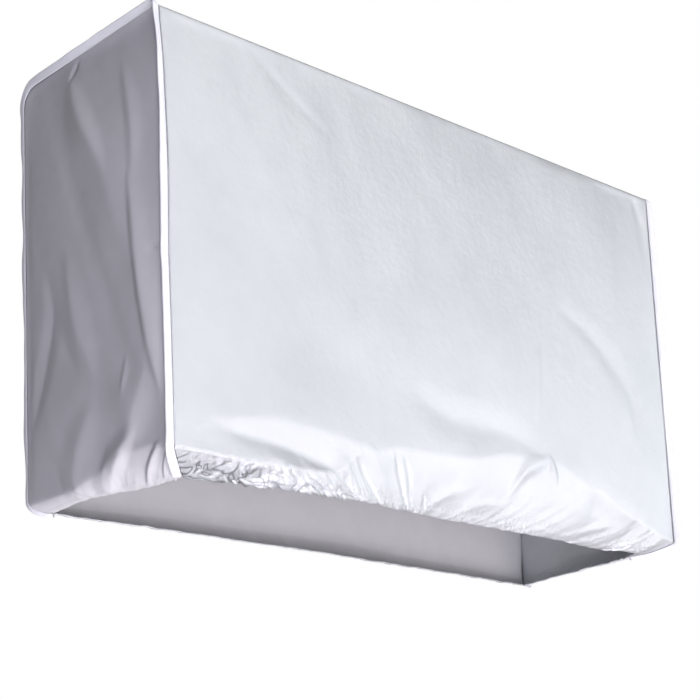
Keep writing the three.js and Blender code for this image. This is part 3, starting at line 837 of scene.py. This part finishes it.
def binding_mesh(name, seam, side, materials):
    """Tape folded over the seam's edges, swept along the seam with closed ends."""
    section = tape_section()
    length = np.arange(TAPE_START, seam.length[-1] - TAPE_END, TAPE_STEP)
    corners, outs, ways = seam.at(seam.path_at(length))
    swell = TAPE_SWELL * ripples.along(length, TAPE_SWELL_PITCH, f"swell{side}")
    waver = EDGE_WAVER * ripples.along(length, EDGE_WAVER_PITCH, f"edge{side}")
    outer_part = section[None, :, 0] > FIN_WIDTH / 2
    reach = section[None, :, 0] + waver[:, None] * outer_part
    width = section[None, :, 1] * (1.0 + swell[:, None])
    points = corners[:, None] + outs[:, None] * reach[..., None] + ways[:, None] * width[..., None]
    rings, sides = len(length), len(section)
    faces = []
    for ring in range(rings - 1):
        for k in range(sides):
            a, b = ring * sides + k, ring * sides + (k + 1) % sides
            faces.append((a, b, b + sides, a + sides))
    low_cap = [(k, k + 1, sides - 2 - k, sides - 1 - k) for k in range(sides // 2 - 1)]
    last = (rings - 1) * sides
    faces += [cap[::-1] for cap in low_cap]
    faces += [tuple(v + last for v in cap) for cap in low_cap]
    faces = np.array(faces)
    if side < 0:
        faces = faces[:, ::-1]
    flat = points.reshape(-1, 3)
    return make_mesh(name, flat, faces, np.zeros(len(faces)), materials)


def stitch_mesh(name, seam, side, materials):
    """Two rows of lock stitches, one on each face of the tape: short rounded bars."""
    level = CLOTH + SEAM_GAP / 2.0 + TAPE_GAP + TAPE
    starts = np.arange(STITCH_START, seam.length[-1] - STITCH_START, STITCH_PITCH)
    shares = np.array(STITCH["along"])
    lifts = np.array(STITCH["lift"])
    sizes = np.array(STITCH["radius"])
    angles = np.arange(STITCH_SIDES) * 2.0 * np.pi / STITCH_SIDES
    points, faces = [], []
    count = 0
    for hand in (-1.0, 1.0):
        for start in starts:
            length = start + shares * STITCH_LENGTH
            corners, outs, ways = seam.at(seam.path_at(length))
            centre = corners + outs * STITCH_INSET + ways * (hand * (level + lifts))[:, None]
            ring = (
                centre[:, None]
                + outs[:, None] * (np.cos(angles) * sizes[:, None])[..., None]
                + ways[:, None] * (np.sin(angles) * sizes[:, None])[..., None]
            )
            points.append(ring.reshape(-1, 3))
            for r in range(len(shares) - 1):
                first = count + r * STITCH_SIDES
                for k in range(STITCH_SIDES):
                    a, b = first + k, first + (k + 1) % STITCH_SIDES
                    faces.append((a, b, b + STITCH_SIDES, a + STITCH_SIDES))
            count += len(shares) * STITCH_SIDES
    faces = np.array(faces)
    if side > 0:
        faces = faces[:, ::-1]
    return make_mesh(name, np.concatenate(points), faces, np.zeros(len(faces)), materials)


def node(nodes, kind, **values):
    """New shader node with some of its inputs set."""
    made = nodes.new(kind)
    for name, value in values.items():
        made.inputs[name.replace("_", " ")].default_value = value
    return made


def bump(nodes, links, height, size, below=None):
    """Bump of a strength and depth on top of another one."""
    strength, distance = size
    made = node(nodes, "ShaderNodeBump", Strength=strength, Distance=distance)
    links.new(height, made.inputs["Height"])
    if below is not None:
        links.new(below, made.inputs["Normal"])
    return made.outputs["Normal"]


def new_material(name):
    """New material with its nodes, links and main shader."""
    material = bpy.data.materials.new(name)
    material.use_nodes = True
    nodes, links = material.node_tree.nodes, material.node_tree.links
    return material, nodes, links, nodes["Principled BSDF"]


def noise(nodes, links, place, **values):
    """Noise over the piece's own coordinates."""
    made = node(nodes, "ShaderNodeTexNoise", **values)
    links.new(place, made.inputs["Vector"])
    return made.outputs["Fac"]


def remap(nodes, links, value, source, target=(0.0, 1.0)):
    """Value moved from one range to another, and kept inside it."""
    made = node(
        nodes, "ShaderNodeMapRange",
        From_Min=source[0], From_Max=source[1], To_Min=target[0], To_Max=target[1],
    )
    links.new(value, made.inputs["Value"])
    return made.outputs["Result"]


def product(nodes, links, first, second):
    """Product of two values."""
    made = nodes.new("ShaderNodeMath")
    made.operation = "MULTIPLY"
    links.new(first, made.inputs[0])
    links.new(second, made.inputs[1])
    return made.outputs["Value"]


def two_tones(nodes, links, share, dark, light, turn=(0.0, 1.0)):
    """Colour that turns from a dark to a light tone between two places of the share."""
    ramp = nodes.new("ShaderNodeValToRGB")
    for element, place, colour in zip(ramp.color_ramp.elements, turn, (dark, light)):
        element.position = place
        element.color = (*colour, 1.0)
    links.new(share, ramp.inputs["Fac"])
    return ramp.outputs["Color"]


def painted_curl_shade(nodes, links, place, axes, near_hem):
    """Painted shade of the silver cloth: thin dark curls of painted crease shade at the foot of the left
    front corner, 1 elsewhere.
    """
    lines = nodes.new("ShaderNodeMath")
    lines.operation = "PINGPONG"
    lines.inputs[1].default_value = CURL_STEP
    links.new(noise(nodes, links, place, **CURL_NOISE), lines.inputs[0])
    tone = remap(nodes, links, lines.outputs["Value"], (0.0, CURL_LINE), (CURL_PAINTED_SHADE, 1.0))
    mask = near_hem
    for axis, limits in (("X", CURL_ACROSS), ("Y", CURL_DEEP), ("Y", CURL_UNDER)):
        mask = product(nodes, links, mask, remap(nodes, links, axes.outputs[axis], limits))
    painted_shade = node(nodes, "ShaderNodeMix", A=1.0)
    links.new(mask, painted_shade.inputs["Factor"])
    links.new(tone, painted_shade.inputs["B"])
    return painted_shade.outputs["Result"]


def silver_material():
    """Silver coated cloth: fine weave, soft crinkles, slightly uneven tone and gloss, and painted shade
    in dark curls at the left front corner's foot.
    """
    material, nodes, links, shader = new_material("silver_cloth")
    shader.inputs["Metallic"].default_value = SILVER_METAL
    place = nodes.new("ShaderNodeTexCoord").outputs["Object"]
    axes = nodes.new("ShaderNodeSeparateXYZ")
    links.new(place, axes.inputs["Vector"])
    tone = noise(nodes, links, place, **TONE_NOISE)
    gloss = remap(nodes, links, tone, (0.0, 1.0), SILVER_ROUGHNESS)
    links.new(gloss, shader.inputs["Roughness"])
    near_hem = remap(nodes, links, axes.outputs["Z"], PUCKER_LEVELS)
    # Base colour times the painted crease shade of the curls near the left front corner's foot
    shaded = nodes.new("ShaderNodeVectorMath")
    shaded.operation = "SCALE"
    colour = two_tones(nodes, links, tone, SILVER_DARK, SILVER_LIGHT, SILVER_TURN)
    links.new(colour, shaded.inputs[0])
    links.new(painted_curl_shade(nodes, links, place, axes, near_hem), shaded.inputs["Scale"])
    links.new(shaded.outputs["Vector"], shader.inputs["Base Color"])
    puckers = product(nodes, links, noise(nodes, links, place, **PUCKER_NOISE), near_hem)
    coarse = bump(nodes, links, noise(nodes, links, place, **CRINKLE_NOISE), CRINKLE_BUMP)
    middle = bump(nodes, links, puckers, PUCKER_BUMP, coarse)
    fine = bump(nodes, links, noise(nodes, links, place, **WEAVE_NOISE), WEAVE_BUMP, middle)
    links.new(fine, shader.inputs["Normal"])
    return material


def woven_material(name, colour, roughness, threads, glow):
    """Plain woven material with an uneven tone; glow is the strength of a painted glow, light that no
    lamp gives it.
    """
    material, nodes, links, shader = new_material(name)
    # Painted glow: emission that makes the material brighter than its lamps light it
    shader.inputs["Emission Color"].default_value = PAINTED_GLOW_COLOUR
    shader.inputs["Emission Strength"].default_value = glow
    shader.inputs["Roughness"].default_value = roughness
    place = nodes.new("ShaderNodeTexCoord").outputs["Object"]
    tone = noise(nodes, links, place, **WOVEN_NOISE)
    dark = [WOVEN_DARK * part for part in colour]
    links.new(two_tones(nodes, links, tone, dark, colour), shader.inputs["Base Color"])
    weave = noise(nodes, links, place, Scale=threads, Detail=THREAD_DETAIL)
    links.new(bump(nodes, links, weave, THREAD_BUMP), shader.inputs["Normal"])
    return material


def area_light(name, way, size, power, colour):
    """Soft rectangular lamp in one direction from the cover, which isn't seen itself."""
    data = bpy.data.lights.new(name, "AREA")
    data.shape = "RECTANGLE"
    data.size, data.size_y = size
    data.energy = power
    data.color = colour
    lamp = bpy.data.objects.new(name, data)
    way = Vector(way).normalized()
    lamp.location = Vector(CENTRE) + way * LAMP_DISTANCE
    lamp.rotation_euler = way.to_track_quat("Z", "Y").to_euler()
    lamp.visible_camera = False
    bpy.context.scene.collection.objects.link(lamp)


def set_world():
    """White behind the cover for the camera, and nearly dark for everything that lights it."""
    world = bpy.data.worlds.new("studio")
    world.use_nodes = True
    nodes, links = world.node_tree.nodes, world.node_tree.links
    seen = nodes["Background"]
    seen.inputs["Color"].default_value = (*WHITE, 1.0)
    seen.inputs["Strength"].default_value = 1.0
    fill = nodes.new("ShaderNodeBackground")
    fill.inputs["Strength"].default_value = FILL_STRENGTH
    path = nodes.new("ShaderNodeLightPath")
    mix = nodes.new("ShaderNodeMixShader")
    links.new(path.outputs["Is Camera Ray"], mix.inputs[0])
    links.new(fill.outputs["Background"], mix.inputs[1])
    links.new(seen.outputs["Background"], mix.inputs[2])
    links.new(mix.outputs["Shader"], nodes["World Output"].inputs["Surface"])
    bpy.context.scene.world = world


def make_floor():
    """Plain pale floor, well below the cover; its glow is for the camera and lights nothing."""
    mesh = bpy.data.meshes.new("floor")
    around = [(-FLOOR_HALF, -FLOOR_HALF), (FLOOR_HALF, -FLOOR_HALF)]
    around += [(FLOOR_HALF, FLOOR_HALF), (-FLOOR_HALF, FLOOR_HALF)]
    corners = [(x, y, FLOOR_LEVEL) for x, y in around]
    mesh.from_pydata(corners, [], [(0, 1, 2, 3)])
    material, nodes, links, shader = new_material("floor")
    shader.inputs["Base Color"].default_value = FLOOR_COLOUR
    shader.inputs["Roughness"].default_value = FLOOR_ROUGHNESS
    seen = nodes.new("ShaderNodeLightPath")
    glow = nodes.new("ShaderNodeMath")
    glow.operation = "MULTIPLY"
    glow.inputs[1].default_value = FLOOR_GLOW
    links.new(seen.outputs["Is Camera Ray"], glow.inputs[0])
    links.new(glow.outputs["Value"], shader.inputs["Emission Strength"])
    mesh.materials.append(material)
    floor = bpy.data.objects.new("floor", mesh)
    bpy.context.scene.collection.objects.link(floor)


def make_camera():
    """Camera solved from the cover's corners in the photograph, with no shift."""
    azimuth, elevation, roll = np.radians([AZIMUTH, ELEVATION, ROLL])
    back = np.array([
        np.sin(azimuth) * np.cos(elevation),
        -np.cos(azimuth) * np.cos(elevation),
        np.sin(elevation),
    ])
    level_right = unit(np.cross(-back, [0.0, 0.0, 1.0]))
    level_up = np.cross(level_right, -back)
    right = np.cos(roll) * level_right + np.sin(roll) * level_up
    up = -np.sin(roll) * level_right + np.cos(roll) * level_up
    data = bpy.data.cameras.new("camera")
    data.lens = LENS
    data.sensor_width = SENSOR
    camera = bpy.data.objects.new("camera", data)
    turned = Matrix(np.stack([right, up, back], 1).tolist()).to_4x4()
    camera.matrix_world = Matrix.Translation(Vector(TARGET + back * DISTANCE)) @ turned
    bpy.context.scene.collection.objects.link(camera)
    bpy.context.scene.camera = camera


def make_cover():
    """All pieces of the cover, each on the root body, hiding the node that it replaces."""
    cloth = [silver_material(), woven_material("cloth_reverse", *REVERSE)]
    tape = [woven_material("binding_tape", *WHITE_TAPE)]
    thread = [woven_material("thread", *WHITE_THREAD)]
    seams = {-1: Seam(-1, LEFT_FIN), 1: Seam(1, RIGHT_FIN)}
    wrap = wrap_cloth(seams[-1], seams[1]).build("cloth_wrap", False, cloth)
    place_piece(wrap, "wrap_panel")
    for side, word, hem, folds in (
        (-1, "left", LEFT_HEM, LEFT_FOLDS),
        (1, "right", RIGHT_HEM, RIGHT_FOLDS),
    ):
        seam = seams[side]
        panel = side_cloth(side, hem, folds, seam).build(f"cloth_{word}", side > 0, cloth)
        place_piece(panel, f"side_panel_{word}")
        binding = binding_mesh(f"tape_{word}", seam, side, tape)
        place_piece(binding, f"binding_{word}")
        stitches = stitch_mesh(f"stitches_{word}", seam, side, thread)
        place_piece(stitches, None)


def place_piece(piece, replaced):
    """Hangs a piece on the root body and hides the node that it replaces, if any."""
    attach(piece, "root")
    if replaced:
        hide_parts(replaced)


make_camera()
set_world()
make_floor()
make_cover()
for light in LIGHTS:
    area_light(*light)
bpy.context.scene.view_settings.view_transform = "Standard"
